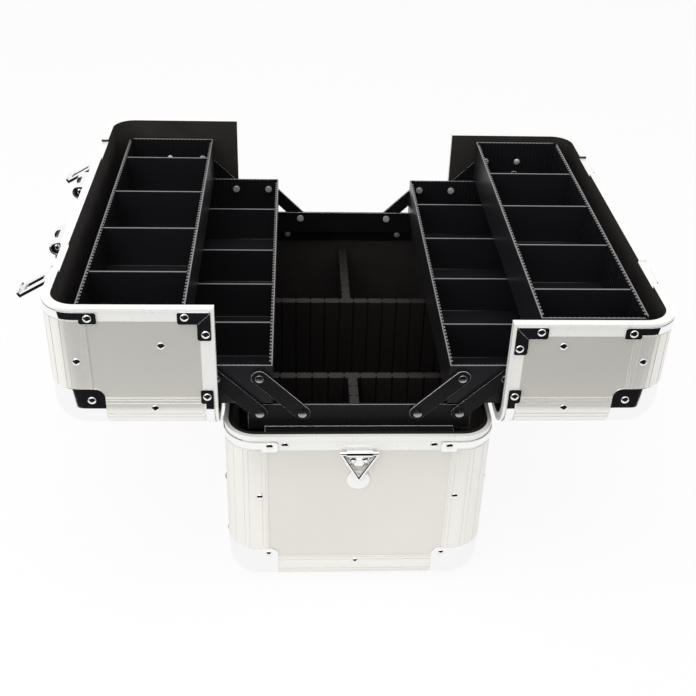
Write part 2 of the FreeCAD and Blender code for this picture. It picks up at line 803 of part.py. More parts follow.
def build_handle():
    """Two brackets with hollow ends and riveted pins on the left lid, and the folding handle."""
    axis_x = split_x - lid_gap / 2 - lid_rim_height - handle_in
    seat = closed_height - bead_step
    axis_z = seat + handle_up
    brackets = []
    for sy in ENDS:
        middle = sy * handle_y
        half = ear_gap / 2 + ear_thick + ear_cup
        low_x = axis_x - ear_radius
        high_x = axis_x + ear_radius
        foot = block(low_x, high_x, middle - half, middle + half, seat, seat + ear_plate)
        roof = block(high_x - ear_roof, high_x, middle - half, middle + half, seat, axis_z)
        solids = [foot, roof]
        for side in SIDES:
            inner = middle + side * ear_gap / 2
            face = inner + side * ear_thick
            outer = middle + side * half
            ear = block(low_x, high_x, inner, outer, seat, axis_z)
            ear = ear.fuse(rod_y(axis_x, axis_z, ear_radius, inner, outer))
            hollow = block(low_x + ear_roof, high_x - ear_roof, face, outer, seat + ear_plate, axis_z)
            hollow = hollow.fuse(rod_y(axis_x, axis_z, ear_radius - ear_roof, face, outer))
            solids.append(ear.cut(hollow))
            tip = face + side * ear_cup / 2
            solids.append(rod_y(axis_x, axis_z, handle_pin_radius, inner, tip))
            solids.append(rivet(vec(axis_x, tip, axis_z), vec(0, side, 0)))
        solids.append(rod_y(axis_x, axis_z, handle_pin_radius, middle - ear_gap / 2, middle + ear_gap / 2))
        brackets.append(solids[0].fuse(solids[1:]).removeSplitter())
    save_lid("handle_brackets", brackets, -1)
    grip_x = axis_x - handle_leg
    grip = rod_y(grip_x, axis_z, grip_radius, -handle_y - grip_radius, handle_y + grip_radius)
    for sy in ENDS:
        middle = sy * handle_y
        leg = block(grip_x, axis_x, middle - handle_eye_half, middle + handle_eye_half,
                    axis_z - handle_eye_radius, axis_z + handle_eye_radius)
        eye = rod_y(axis_x, axis_z, handle_eye_radius, middle - handle_eye_half, middle + handle_eye_half)
        grip = grip.fuse([leg, eye])
    grip = grip.removeSplitter()
    grip = grip.cut(rod_y(axis_x, axis_z, handle_pin_radius + handle_pin_clear, -half_y, half_y))
    save_lid("handle", [grip], -1)


def build_latches():
    """Latch plates with ears and pins, hooked levers, and the catches on the other lid."""
    axis_x = split_x - lid_gap / 2 - latch_in
    axis_z = lid_face + latch_up
    half = latch_width / 2
    rim_face = closed_height - bead_step
    plates = []
    catches = []
    for sy, name in zip(ENDS, ("front_latch_lever", "back_latch_lever")):
        middle = sy * latch_y
        inner_x = axis_x + (latch_in - lid_rim_height)
        plate = block(axis_x - latch_in / 2, inner_x, middle - half, middle + half, lid_face,
                      lid_face + latch_plate_thick)
        solids = [plate]
        for side in SIDES:
            inner = middle + side * (half - latch_ear_thick)
            outer = middle + side * half
            solids.append(block(axis_x - lever_eye_radius, axis_x + lever_eye_radius, inner, outer,
                                lid_face, axis_z))
            solids.append(rod_y(axis_x, axis_z, lever_eye_radius, inner, outer))
        solids.append(rod_y(axis_x, axis_z, lever_pin_radius, middle - half, middle + half))
        plates.append(solids[0].fuse(solids[1:]).removeSplitter())
        low_y = middle - lever_half
        high_y = middle + lever_half
        tip_x = axis_x + lever_reach
        bar = block(axis_x, tip_x, low_y, high_y, axis_z - lever_thick / 2, axis_z + lever_thick / 2)
        hook = block(tip_x - hook_thick, tip_x, low_y, high_y, axis_z - hook_drop, axis_z)
        eye = rod_y(axis_x, axis_z, lever_eye_radius, low_y, high_y)
        lever = bar.fuse([hook, eye]).removeSplitter()
        window = block(axis_x + lever_eye_radius * 2, tip_x - hook_thick * 2, middle - lever_half / 2,
                       middle + lever_half / 2, axis_z - hook_drop, axis_z + hook_drop)
        lever = lever.cut(window)
        lever = lever.cut(rod_y(axis_x, axis_z, lever_pin_radius + lever_pin_clear, -half_y, half_y))
        lever.rotate(vec(axis_x, 0, axis_z), vec(0, 1, 0), -latch_open_angle)
        save_lid(name, [lever], -1)
        lip_x = tip_x - hook_thick - hook_clear
        floor = split_x + lid_gap / 2
        foot = block(floor + lid_bead, floor + catch_end, middle - half, middle + half,
                     rim_face, rim_face + latch_plate_thick)
        lip = block(lip_x - catch_lip, lip_x, middle - half, middle + half, rim_face,
                    rim_face + catch_height)
        catches.append(foot.fuse(lip).removeSplitter())
    save_lid("latch_plates", plates, -1)
    save_lid("latch_catches", catches, 1)


def build_arms(sx, side):
    """Two long arms and two short arms of one side, drawn open."""
    hole = pin_radius + pin_clear
    low = (sx * pivot_outer_x, pivot_z)
    mid = (sx * (pivot_outer_x + arm_step), pivot_z + arm_step)
    high = (sx * (pivot_outer_x + arm_step * 2), pivot_z + arm_step * 2)
    foot = (sx * pivot_inner_x, pivot_z)
    head = (sx * (pivot_inner_x + arm_step), pivot_z + arm_step)
    long_arms = []
    short_arms = []
    for sy in ENDS:
        long_arms.append(strip([low, mid, high], arm_width, sy * arm_low_y, sy * arm_high_y, hole))
        short_arms.append(strip([foot, head], arm_width, sy * arm_low_y, sy * arm_high_y, hole))
    save(side + "_long_arms", long_arms)
    save(side + "_short_arms", short_arms)


def corner_off(x, y, z, sx, sy):
    """What is cut off an upper outer corner of a tray, so that it clears the round edge of its lid."""
    peak = vec(x, y, z)
    points = [vec(x - sx * tray_clip, y, z), vec(x, y - sy * tray_clip, z), vec(x, y, z - tray_clip)]
    faces = [Part.Face(Part.makePolygon(points + points[:1]))]
    for start, end in zip(points, points[1:] + points[:1]):
        faces.append(Part.Face(Part.makePolygon([peak, start, end, peak])))
    return Part.Solid(Part.Shell(faces))


def build_tray(sx, name, inner, outer, low, top, pivots, spare, places, stud):
    """One tray as floor and walls, with its dividers, its pivot pins and a plain rivet in each end wall."""
    floor = low + tray_wall
    inside = end_face - tray_wall
    walls_of_tray = [block(sx * inner, sx * outer, -end_face, end_face, low, floor)]
    walls_of_tray.append(block(sx * inner, sx * (inner + tray_wall), -end_face, end_face, floor, top))
    walls_of_tray.append(block(sx * (outer - tray_wall), sx * outer, -end_face, end_face, floor, top))
    for sy in ENDS:
        end_wall = block(sx * (inner + tray_wall), sx * (outer - tray_wall), sy * inside, sy * end_face,
                         floor, top)
        for x, z in pivots:
            end_wall = end_wall.cut(rod_y(sx * x, z, pin_radius, -half_y, half_y))
        if stud:
            end_wall = end_wall.cut(rod_y(sx * stud[0], stud[1], stud_radius + pin_clear, -half_y, half_y))
        walls_of_tray.append(end_wall)
    if stud:
        corners = [corner_off(sx * outer, sy * end_face, top, sx, sy) for sy in ENDS]
        walls_of_tray = [piece.cut(corners) for piece in walls_of_tray]
    save(name, walls_of_tray)
    boards = []
    for share in places:
        y = end_face * share
        boards.append(block(sx * (inner + tray_wall + divider_side_gap),
                            sx * (outer - tray_wall - divider_side_gap), y - divider_thick / 2,
                            y + divider_thick / 2, low + tray_wall, top - divider_drop))
    save(name + "_dividers", boards)
    pins = []
    for sy in ENDS:
        for x, z in pivots:
            pins.append(pivot_pin(sx * x, z, sy))
        for x, z in spare:
            pins.append(rivet(vec(sx * x, sy * (end_face - tray_wall), z), vec(0, -sy, 0)))
    save(name + "_rivets", pins)


def build_trays(sx, side, lower_places, upper_places):
    lower = [(pivot_inner_x + arm_step, lower_pivot_z), (pivot_outer_x + arm_step, lower_pivot_z)]
    upper = [(pivot_outer_x + arm_step * 2, upper_pivot_z)]
    build_tray(sx, side + "_lower_tray", lower_inner, lower_outer, lower_low, lower_top, lower,
               [(lower_outer - spare_rivet_in, lower_pivot_z)], lower_places, None)
    build_tray(sx, side + "_upper_tray", upper_inner, upper_outer, upper_low, upper_top, upper,
               [(upper_outer - upper_rivet_in, upper_pivot_z)], upper_places, (stud_x, stud_z))


build_base_walls()
build_base_rim()
build_base_rivets()
build_arm_plates()
build_base_dividers()
build_base_hinges()
build_strap_rings()
build_lid(-1, "left")
build_lid(1, "right")
build_handle()
build_latches()
build_arms(-1, "left")
build_arms(1, "right")
build_trays(-1, "left", lower_left_shares, upper_left_shares)
build_trays(1, "right", lower_right_shares, upper_right_shares)
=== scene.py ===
"""The open aluminium tool case, dressed for the studio, with one section for each kind of piece."""
import json
import math

import bpy
from mathutils import Matrix, Vector

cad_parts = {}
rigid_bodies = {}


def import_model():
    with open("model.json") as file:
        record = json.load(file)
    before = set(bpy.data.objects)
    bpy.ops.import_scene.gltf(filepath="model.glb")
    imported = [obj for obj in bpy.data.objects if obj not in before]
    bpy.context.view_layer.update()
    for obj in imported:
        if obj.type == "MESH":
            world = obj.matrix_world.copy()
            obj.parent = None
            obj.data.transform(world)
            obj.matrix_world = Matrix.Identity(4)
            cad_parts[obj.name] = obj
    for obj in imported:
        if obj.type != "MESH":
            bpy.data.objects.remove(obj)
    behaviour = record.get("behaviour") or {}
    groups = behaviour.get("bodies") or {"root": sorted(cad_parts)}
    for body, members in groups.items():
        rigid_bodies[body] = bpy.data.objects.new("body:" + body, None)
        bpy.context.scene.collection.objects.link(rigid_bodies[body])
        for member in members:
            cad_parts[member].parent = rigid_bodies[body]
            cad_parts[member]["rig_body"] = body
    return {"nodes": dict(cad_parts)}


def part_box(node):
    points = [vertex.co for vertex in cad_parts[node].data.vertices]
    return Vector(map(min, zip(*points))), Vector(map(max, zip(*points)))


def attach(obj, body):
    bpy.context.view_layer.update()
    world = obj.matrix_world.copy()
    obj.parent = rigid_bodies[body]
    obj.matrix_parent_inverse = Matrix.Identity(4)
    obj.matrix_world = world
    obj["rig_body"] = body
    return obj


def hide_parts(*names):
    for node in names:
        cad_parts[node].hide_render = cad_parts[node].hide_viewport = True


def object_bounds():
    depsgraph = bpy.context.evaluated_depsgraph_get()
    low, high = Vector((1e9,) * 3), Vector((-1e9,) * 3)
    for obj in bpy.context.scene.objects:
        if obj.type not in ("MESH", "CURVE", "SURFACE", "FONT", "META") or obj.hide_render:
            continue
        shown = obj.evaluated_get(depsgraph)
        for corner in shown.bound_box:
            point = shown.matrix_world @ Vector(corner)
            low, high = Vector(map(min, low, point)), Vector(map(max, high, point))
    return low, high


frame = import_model()
cad_low, cad_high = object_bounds()

# The studio: the camera stands in front of the case, a little to its left, and looks down at it.
# The case stands on a white table top. Black cards past the table's front edge give the bright fittings
# something dark to show, and a large soft box overhead with a weaker one in front gives an even light.
scene = bpy.context.scene
scene.view_settings.view_transform = "Standard"
eye = Vector((-0.0557, -0.9029, 0.71996))
pitch = -0.577025
yaw = 0.060842
roll = 0.034489
ahead = Vector((math.sin(yaw) * math.cos(pitch), math.cos(yaw) * math.cos(pitch), math.sin(pitch)))
level = Vector((math.cos(yaw), -math.sin(yaw), 0.0))
upward = level.cross(ahead)
right = level * math.cos(roll) + upward * math.sin(roll)
top = upward * math.cos(roll) - level * math.sin(roll)
lens = bpy.data.cameras.new("photo_camera")
lens.sensor_width = 36.0
lens.lens = 54.91
lens.clip_start = 0.05
camera = bpy.data.objects.new("photo_camera", lens)
scene.collection.objects.link(camera)
turned = Matrix((right, top, -ahead)).transposed().to_4x4()
camera.matrix_world = Matrix.Translation(eye) @ turned
scene.camera = camera


def compute(tree, kind, operation, *values):
    """A maths node, each of whose inputs is linked to a socket or set to a constant."""
    node = tree.nodes.new(kind)
    node.operation = operation
    for socket, value in zip(node.inputs, values):
        if isinstance(value, bpy.types.NodeSocket):
            tree.links.new(value, socket)
        else:
            socket.default_value = value
    return node


def ray_is(tree, *kinds):
    """A socket that is 1 on light paths of these kinds and 0 on all others."""
    path = tree.nodes.new("ShaderNodeLightPath")
    found = path.outputs[kinds[0]]
    for kind in kinds[1:]:
        found = compute(tree, "ShaderNodeMath", "MAXIMUM", found, path.outputs[kind]).outputs["Value"]
    return found


def new_finish(name, colour, metallic, roughness, shine=0.5):
    """A plain material, which the sections below may add a grain to."""
    finish = bpy.data.materials.new(name)
    finish.use_nodes = True
    coat = finish.node_tree.nodes["Principled BSDF"]
    coat.inputs["Base Color"].default_value = (*colour, 1.0)
    coat.inputs["Metallic"].default_value = metallic
    coat.inputs["Roughness"].default_value = roughness
    coat.inputs["Specular IOR Level"].default_value = shine
    return finish


room_light = 0.62
room_seen = 1.0
room = bpy.data.worlds.new("white_room")
scene.world = room
room.use_nodes = True
walls = room.node_tree.nodes["Background"]
walls.inputs["Color"].default_value = (1.0, 1.0, 1.0, 1.0)
glow = room.node_tree.nodes.new("ShaderNodeMapRange")
glow.inputs["To Min"].default_value = room_light
glow.inputs["To Max"].default_value = room_seen
seen = ray_is(room.node_tree, "Is Camera Ray", "Is Glossy Ray", "Is Transmission Ray")
room.node_tree.links.new(seen, glow.inputs["Value"])
room.node_tree.links.new(glow.outputs["Result"], walls.inputs["Strength"])

table_wide = 9.0
table_glow = 0.9
bpy.ops.object.select_all(action="DESELECT")
bpy.ops.mesh.primitive_plane_add(size=table_wide, location=(0.0, 0.0, cad_low.z))
table_top = bpy.context.object
table_top.name = "table_top"
table_white = new_finish("table_white", (0.93, 0.93, 0.93), 0.0, 0.8)
nodes = table_white.node_tree.nodes
links = table_white.node_tree.links
lit = nodes.new("ShaderNodeEmission")
lit.inputs["Color"].default_value = (1.0, 1.0, 1.0, 1.0)
seen = ray_is(table_white.node_tree, "Is Camera Ray", "Is Glossy Ray")
share = compute(table_white.node_tree, "ShaderNodeMath", "MULTIPLY", seen, table_glow)
blend = nodes.new("ShaderNodeMixShader")
links.new(share.outputs["Value"], blend.inputs["Fac"])
links.new(nodes["Principled BSDF"].outputs["BSDF"], blend.inputs[1])
links.new(lit.outputs["Emission"], blend.inputs[2])
links.new(blend.outputs["Shader"], nodes["Material Output"].inputs["Surface"])
table_top.data.materials.append(table_white)

card_above_table = 0.002
card_black = new_finish("card_black", (0.01, 0.01, 0.012), 0.0, 0.9, 0.0)
for name, place, size, tilt in (
        ("lying_card", (0.0, -1.0, cad_low.z + card_above_table), (4.0, 1.14, 1.0), 0.0),
        ("standing_card", (0.0, -1.57, 0.55), (4.0, 1.1, 1.0), 90.0)):
    bpy.ops.object.select_all(action="DESELECT")
    bpy.ops.mesh.primitive_plane_add(size=1.0, location=place, rotation=(math.radians(tilt), 0.0, 0.0))
    card = bpy.context.object
    card.name = name
    card.scale = size
    bpy.ops.object.transform_apply(location=True, rotation=True, scale=True)
    card.visible_camera = False
    card.visible_diffuse = False
    card.visible_shadow = False
    card.data.materials.append(card_black)

lamp_aim = Vector((0.0, 0.0, 0.15))
for name, place, width, power in (("soft_box_above", Vector((-0.25, -0.35, 1.9)), 1.7, 17.0),
                                  ("soft_box_front", Vector((-0.9, -1.5, 1.0)), 1.0, 7.0)):
    lamp = bpy.data.lights.new(name, "AREA")
    lamp.size = width
    lamp.energy = power
    holder = bpy.data.objects.new(name, lamp)
    holder.location = place
    holder.rotation_euler = (lamp_aim - place).to_track_quat("-Z", "Y").to_euler()
    scene.collection.objects.link(holder)


# Panels of the box and the lids: board faced with thin aluminium sheet, satin anodised, a warm light grey.
# The sheet is rolled, so it carries a fine straight grain, and it is slid into the grooves of the extrusions.
def grain(finish, size, detail=3.0, stretch=(1.0, 1.0, 1.0)):
    """Noise fixed to the piece, drawn out by the stretch."""
    nodes = finish.node_tree.nodes
    place = nodes.new("ShaderNodeTexCoord")
    drawn = nodes.new("ShaderNodeMapping")
    drawn.inputs["Scale"].default_value = stretch
    speck = nodes.new("ShaderNodeTexNoise")
    speck.inputs["Scale"].default_value = size
    speck.inputs["Detail"].default_value = detail
    finish.node_tree.links.new(place.outputs["Object"], drawn.inputs["Vector"])
    finish.node_tree.links.new(drawn.outputs["Vector"], speck.inputs["Vector"])
    return speck.outputs["Fac"]


def spread(finish, value, low, high, start=0.3, end=0.7):
    """The value between start and end, laid out from low to high."""
    span = finish.node_tree.nodes.new("ShaderNodeMapRange")
    span.inputs["From Min"].default_value = start
    span.inputs["From Max"].default_value = end
    span.inputs["To Min"].default_value = low
    span.inputs["To Max"].default_value = high
    finish.node_tree.links.new(value, span.inputs["Value"])
    return span.outputs["Result"]


def tint(finish, value, dark, light, start=0.3, end=0.7):
    """A colour that goes from dark to light with the value."""
    ramp = finish.node_tree.nodes.new("ShaderNodeValToRGB")
    ramp.color_ramp.elements[0].position = start
    ramp.color_ramp.elements[0].color = (*dark, 1.0)
    ramp.color_ramp.elements[1].position = end
    ramp.color_ramp.elements[1].color = (*light, 1.0)
    finish.node_tree.links.new(value, ramp.inputs["Fac"])
    return ramp.outputs["Color"]


def feed(finish, socket, value):
    """Link the value to one input of the finish's shader."""
    coat = finish.node_tree.nodes["Principled BSDF"]
    finish.node_tree.links.new(value, coat.inputs[socket])


def relief(finish, height, depth, strength):
    """Make the finish look uneven to the depth given."""
    bump = finish.node_tree.nodes.new("ShaderNodeBump")
    bump.inputs["Distance"].default_value = depth
    bump.inputs["Strength"].default_value = strength
    finish.node_tree.links.new(height, bump.inputs["Height"])
    feed(finish, "Normal", bump.outputs["Normal"])


def dress(finish, *names):
    """Give the finish to CAD pieces that keep their shape."""
    for name in names:
        frame["nodes"][name].material_slots[0].material = finish


satin_sheet = new_finish("satin_sheet", (0.79, 0.77, 0.71), 0.4, 0.3)
rolled = grain(satin_sheet, 1.0, 1.0, (14.0, 14.0, 1600.0))
clouds = grain(satin_sheet, 7.0)
feed(satin_sheet, "Base Color", tint(satin_sheet, clouds, (0.765, 0.745, 0.685), (0.805, 0.785, 0.73)))
feed(satin_sheet, "Roughness", spread(satin_sheet, rolled, 0.27, 0.31, 0.1, 0.9))
relief(satin_sheet, rolled, 0.000004, 0.05)
dress(satin_sheet, "base_end_panels", "base_side_panels", "base_bottom_panel", "left_lid_panels",
      "right_lid_panels")

# Corner posts, bottom edges and lid edges: drawn aluminium sections with grooves along them, clear anodised.
# They take the panels' edges in their slots and are riveted through.
drawn_metal = new_finish("drawn_metal", (0.9, 0.885, 0.835), 0.5, 0.32)
fine_etch = grain(drawn_metal, 900.0)
feed(drawn_metal, "Roughness", spread(drawn_metal, fine_etch, 0.28, 0.36))
relief(drawn_metal, fine_etch, 0.00001, 0.3)
dress(drawn_metal, "base_corner_posts", "base_bottom_edges", "left_lid_edges", "right_lid_edges")

# Lining of the box and the lids: dark brown-grey foam sheet, glued to the boards and up over the rims.
# It has a fine pebbled skin, hardly shines, and is not quite flat.
pebble_share = 0.06
lining_skin = new_finish("lining_skin", (0.022, 0.019, 0.018), 0.0, 0.58)
pebbles = grain(lining_skin, 700.0)
swells = grain(lining_skin, 26.0, 1.0)
feed(lining_skin, "Base Color", tint(lining_skin, pebbles, (0.016, 0.014, 0.013), (0.032, 0.028, 0.026)))
uneven = compute(lining_skin.node_tree, "ShaderNodeMath", "MULTIPLY_ADD", pebbles, pebble_share, swells)
relief(lining_skin, uneven.outputs["Value"], 0.004, 0.7)
dress(lining_skin, "base_lining", "left_lid_lining", "right_lid_lining")


# Rims of the box and the lids: a heavy aluminium section with a bright rolled bead that meets its neighbour.
# They are bent round the corners and joined under the clips, and the lining covers their inner faces.
# The right lid is the lower one. Its rim is the left one's mirror image, with its posts cut shorter.
def merged_copy(name, ending, *finishes):
    """A copy of a CAD piece with its points merged, active and alone selected."""
    piece = bpy.data.objects.new(name + ending, frame["nodes"][name].data.copy())
    scene.collection.objects.link(piece)
    piece.data.materials.clear()
    for finish in finishes:
        piece.data.materials.append(finish)
    bpy.ops.object.select_all(action="DESELECT")
    bpy.context.view_layer.objects.active = piece
    piece.select_set(True)
    bpy.ops.mesh.customdata_custom_splitnormals_clear()
    bpy.ops.object.mode_set(mode="EDIT")
    bpy.ops.mesh.select_all(action="SELECT")
    bpy.ops.mesh.remove_doubles(threshold=0.00001)
    bpy.ops.object.mode_set(mode="OBJECT")
    return piece


def stand_for(piece, name):
    """Put the piece in the place of a CAD piece."""
    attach(piece, frame["nodes"][name]["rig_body"])
    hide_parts(name)


bead_colour = (0.92, 0.915, 0.885)
bead_metallic = 0.15


def bead_finish(name):
    """The bright finish of a rim."""
    finish = new_finish(name, bead_colour, bead_metallic, 0.3)
    wiped = grain(finish, 90.0)
    feed(finish, "Roughness", spread(finish, wiped, 0.26, 0.34))
    return finish


def line_to_bead(finish, half, radius, bead_wide):
    """Darken a rounded oblong rim wherever it lies further in than its bead."""
    tree = finish.node_tree
    place = tree.nodes.new("ShaderNodeTexCoord").outputs["Object"]
    straight = Vector((half.x - radius, half.y - radius, 0.0))
    flat = compute(tree, "ShaderNodeVectorMath", "MULTIPLY", place, (1.0, 1.0, 0.0)).outputs["Vector"]
    quarter = compute(tree, "ShaderNodeVectorMath", "ABSOLUTE", flat).outputs["Vector"]
    past = compute(tree, "ShaderNodeVectorMath", "SUBTRACT", quarter, straight).outputs["Vector"]
    outside = compute(tree, "ShaderNodeVectorMath", "MAXIMUM", past, (0.0, 0.0, 0.0)).outputs["Vector"]
    reach = compute(tree, "ShaderNodeVectorMath", "LENGTH", outside).outputs["Value"]
    axes = tree.nodes.new("ShaderNodeSeparateXYZ")
    tree.links.new(past, axes.inputs["Vector"])
    nearer = compute(tree, "ShaderNodeMath", "MAXIMUM", axes.outputs["X"], axes.outputs["Y"]).outputs["Value"]
    inside = compute(tree, "ShaderNodeMath", "MINIMUM", nearer, 0.0).outputs["Value"]
    total = compute(tree, "ShaderNodeMath", "ADD", reach, inside).outputs["Value"]
    bead_edge = radius - bead_wide
    bead_start = bead_edge - lining_edge
    bare = spread(finish, total, 0.0, 1.0, bead_start, bead_edge)
    feed(finish, "Base Color", tint(finish, bare, (0.02, 0.018, 0.017), bead_colour, 0.0, 1.0))
    feed(finish, "Metallic", spread(finish, total, 0.0, bead_metallic, bead_start, bead_edge))


base_radius = 0.028
base_bead_wide = 0.0034
lining_edge = 0.0002
end_faces_y = 0.1965
post_middle = 0.23
smooth_limit = math.radians(38.0)
bright_bead = bead_finish("bright_bead")
base_bead = bead_finish("base_bead")
line_to_bead(base_bead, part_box("base_rim")[1], base_radius, base_bead_wide)
for name, pattern, finish, middle in (
        ("base_rim", "base_rim", base_bead, Vector((0.0, 0.0, 0.09))),
        ("left_lid_rim", "left_lid_rim", bright_bead, Vector((-0.185, 0.0, 0.24))),
        ("right_lid_rim", "left_lid_rim", bright_bead, Vector((0.185, 0.0, 0.24)))):
    piece = merged_copy(pattern, "_lined", finish, lining_skin)
    if name != pattern:
        piece.name = name + "_lined"
        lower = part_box(name)[1].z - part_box(pattern)[1].z
        for point in piece.data.vertices:
            point.co.x = -point.co.x
            if point.co.z > post_middle:
                point.co.z += lower
        piece.data.flip_normals()
    bpy.ops.object.shade_smooth_by_angle(angle=smooth_limit)
    for face in piece.data.polygons:
        if abs(face.center.y) < end_faces_y and face.normal.dot(middle - face.center) > 0.0:
            face.material_index = 1
    stand_for(piece, name)

# Ball corners, corner clips and lid brackets: pressed steel, chromed, riveted over the joints of the edges.
# Their edges are rolled over a little, so that they catch the light. The chrome has only faint wipe marks.
same_plane = math.radians(0.5)


def roll_edges(piece, width, steps, sharpest=32.0, edge_finish=-1):
    """Round off the edges that turn by more degrees than the sharpest that stay."""
    bpy.ops.object.mode_set(mode="EDIT")
    bpy.ops.mesh.select_all(action="SELECT")
    bpy.ops.mesh.dissolve_limited(angle_limit=same_plane, delimit={"MATERIAL"})
    bpy.ops.object.mode_set(mode="OBJECT")
    rolled_edge = piece.modifiers.new("rolled_edge", "BEVEL")
    rolled_edge.width = width
    rolled_edge.segments = steps
    rolled_edge.limit_method = "ANGLE"
    rolled_edge.angle_limit = math.radians(sharpest)
    rolled_edge.material = edge_finish
    bpy.ops.object.modifier_apply(modifier=rolled_edge.name)


def keep_flats(piece):
    """Shade the rolled edges smoothly and leave the flats between them flat."""
    bpy.ops.object.shade_smooth_by_angle(angle=smooth_limit)
    flats = piece.modifiers.new("flats", "WEIGHTED_NORMAL")
    flats.keep_sharp = True
    bpy.ops.object.modifier_apply(modifier=flats.name)


def rounded_copy(name, finish, width, steps=2):
    """A copy of a CAD piece with rolled edges, put in its place."""
    piece = merged_copy(name, "_dressed", finish)
    roll_edges(piece, width, steps)
    keep_flats(piece)
    stand_for(piece, name)
    return piece


def start_block(low, high):
    """A plain block between two corners."""
    bpy.ops.object.select_all(action="DESELECT")
    bpy.ops.mesh.primitive_cube_add(size=1.0, location=(low + high) / 2)
    piece = bpy.context.object
    piece.scale = high - low
    bpy.ops.object.transform_apply(location=True, rotation=True, scale=True)
    return piece


def join_to(piece, others):
    """Make the others part of the piece's mesh."""
    bpy.ops.object.select_all(action="DESELECT")
    for other in others:
        other.select_set(True)
    piece.select_set(True)
    bpy.context.view_layer.objects.active = piece
    bpy.ops.object.join()


chrome = new_finish("chrome", (0.92, 0.92, 0.92), 1.0, 0.05)
wipe_marks = grain(chrome, 35.0)
feed(chrome, "Roughness", spread(chrome, wipe_marks, 0.03, 0.09))
for name in ("base_ball_corners", "left_lid_ball_corners", "right_lid_ball_corners"):
    rounded_copy(name, chrome, 0.0005)
rounded_copy("base_rim_clips", chrome, 0.0004)
ridge_wide = 0.0011
ridge_proud = 0.0004
ridge_long = 0.0156
ridge_in = ridge_long * 0.36
ridge_sunk = ridge_proud * 0.9
ridge_round = ridge_proud * 0.45
for side, sx in (("left", -1.0), ("right", 1.0)):
    bracket = rounded_copy(side + "_lid_brackets", chrome, 0.0004)
    low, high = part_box(side + "_lid_brackets")
    corner_x = high.x if sx < 0.0 else low.x
    half_ridge = Vector((ridge_long / 2, ridge_proud, ridge_wide / 2))
    mitre = Matrix.Rotation(sx * math.radians(45.0), 4, "Y")
    ridges = []
    for sy, face_y in ((-1.0, low.y), (1.0, high.y)):
        ridge = start_block(-half_ridge, half_ridge)
        place = Vector((corner_x + sx * ridge_in, face_y - sy * ridge_sunk, high.z - ridge_in))
        ridge.data.transform(Matrix.Translation(place) @ mitre)
        bpy.ops.object.mode_set(mode="EDIT")
        bpy.ops.mesh.select_all(action="SELECT")
        bpy.ops.mesh.bevel(offset=ridge_round, segments=2)
        bpy.ops.object.mode_set(mode="OBJECT")
        ridge.data.materials.append(chrome)
        ridges.append(ridge)
    join_to(bracket, ridges)

# Rivets: bright nickel-plated domes through every joint, and the headed pins that the arms turn on.
# They are set with a hollow punch, which rounds them and leaves them a little uneven. Heads inside the box
# get darker finishes as painted shade, the front ones the darkest.
nickel = new_finish("nickel", (0.88, 0.87, 0.85), 1.0, 0.1)
set_marks = grain(nickel, 420.0)
feed(nickel, "Roughness", spread(nickel, set_marks, 0.06, 0.16))
relief(nickel, set_marks, 0.00003, 0.3)
inner_front_shaded_head = new_finish("inner_front_shaded_head", (0.42, 0.41, 0.4), 1.0, 0.18)
inner_front_marks = grain(inner_front_shaded_head, 300.0)
feed(inner_front_shaded_head, "Roughness", spread(inner_front_shaded_head, inner_front_marks, 0.14, 0.26))
inner_back_shaded_head = new_finish("inner_back_shaded_head", (0.62, 0.615, 0.6), 0.4, 0.38)
inner_back_marks = grain(inner_back_shaded_head, 350.0)
feed(inner_back_shaded_head, "Roughness", spread(inner_back_shaded_head, inner_back_marks, 0.32, 0.46))
inside_x = 0.25
inside_y = 0.1945
for name in ("base_rivets", "left_lid_rivets", "right_lid_rivets", "left_upper_tray_rivets",
             "left_lower_tray_rivets", "right_upper_tray_rivets", "right_lower_tray_rivets"):
    heads = merged_copy(name, "_domed", nickel, inner_front_shaded_head, inner_back_shaded_head)
    # Painted shade: heads within the box's outline take the darker finishes, the front ones the darkest.
    for face in heads.data.polygons:
        if abs(face.center.y) < inside_y and abs(face.center.x) < inside_x:
            face.material_index = 1 if face.center.y < 0.0 else 2
    roll_edges(heads, 0.0005, 3, 15.0)
    bpy.ops.object.shade_smooth()
    stand_for(heads, name)

# Piano hinges: pressed steel leaves rolled round a long pin, zinc plated, riveted under the rims.
# The knuckles of the two leaves take turns along the pin.
zinc = new_finish("zinc", (0.7, 0.7, 0.69), 1.0, 0.28)
spangle = grain(zinc, 180.0)
feed(zinc, "Roughness", spread(zinc, spangle, 0.25, 0.31))
dress(zinc, "base_hinge_leaves", "left_lid_hinge_leaf", "right_lid_hinge_leaf", "hinge_pins")

# Arm plates and arms: steel strip, folded and punched, enamelled black. Their edges are coloured light,
# partly as worn bare steel and partly as a painted highlight.
# Two plates are riveted to the box's ends, and the arms turn on pins in them.
black_enamel = new_finish("black_enamel", (0.008, 0.0075, 0.008), 0.0, 0.3, 0.22)
orange_peel = grain(black_enamel, 400.0)
feed(black_enamel, "Roughness", spread(black_enamel, orange_peel, 0.26, 0.36))
worn_and_highlit_edge = new_finish("worn_and_highlit_edge", (0.78, 0.775, 0.76), 0.3, 0.35)
edge_marks = grain(worn_and_highlit_edge, 500.0)
feed(worn_and_highlit_edge, "Roughness", spread(worn_and_highlit_edge, edge_marks, 0.28, 0.45))
for name in ("front_arm_plate", "back_arm_plate", "left_long_arms", "right_long_arms", "left_short_arms",
             "right_short_arms", "left_tray_studs", "right_tray_studs"):
    strip = merged_copy(name, "_rubbed", black_enamel, worn_and_highlit_edge)
    # The bevel faces take the light finish: partly a painted highlight along the edges, partly wear.
    roll_edges(strip, 0.0008, 1, edge_finish=1)
    keep_flats(strip)
    stand_for(strip, name)


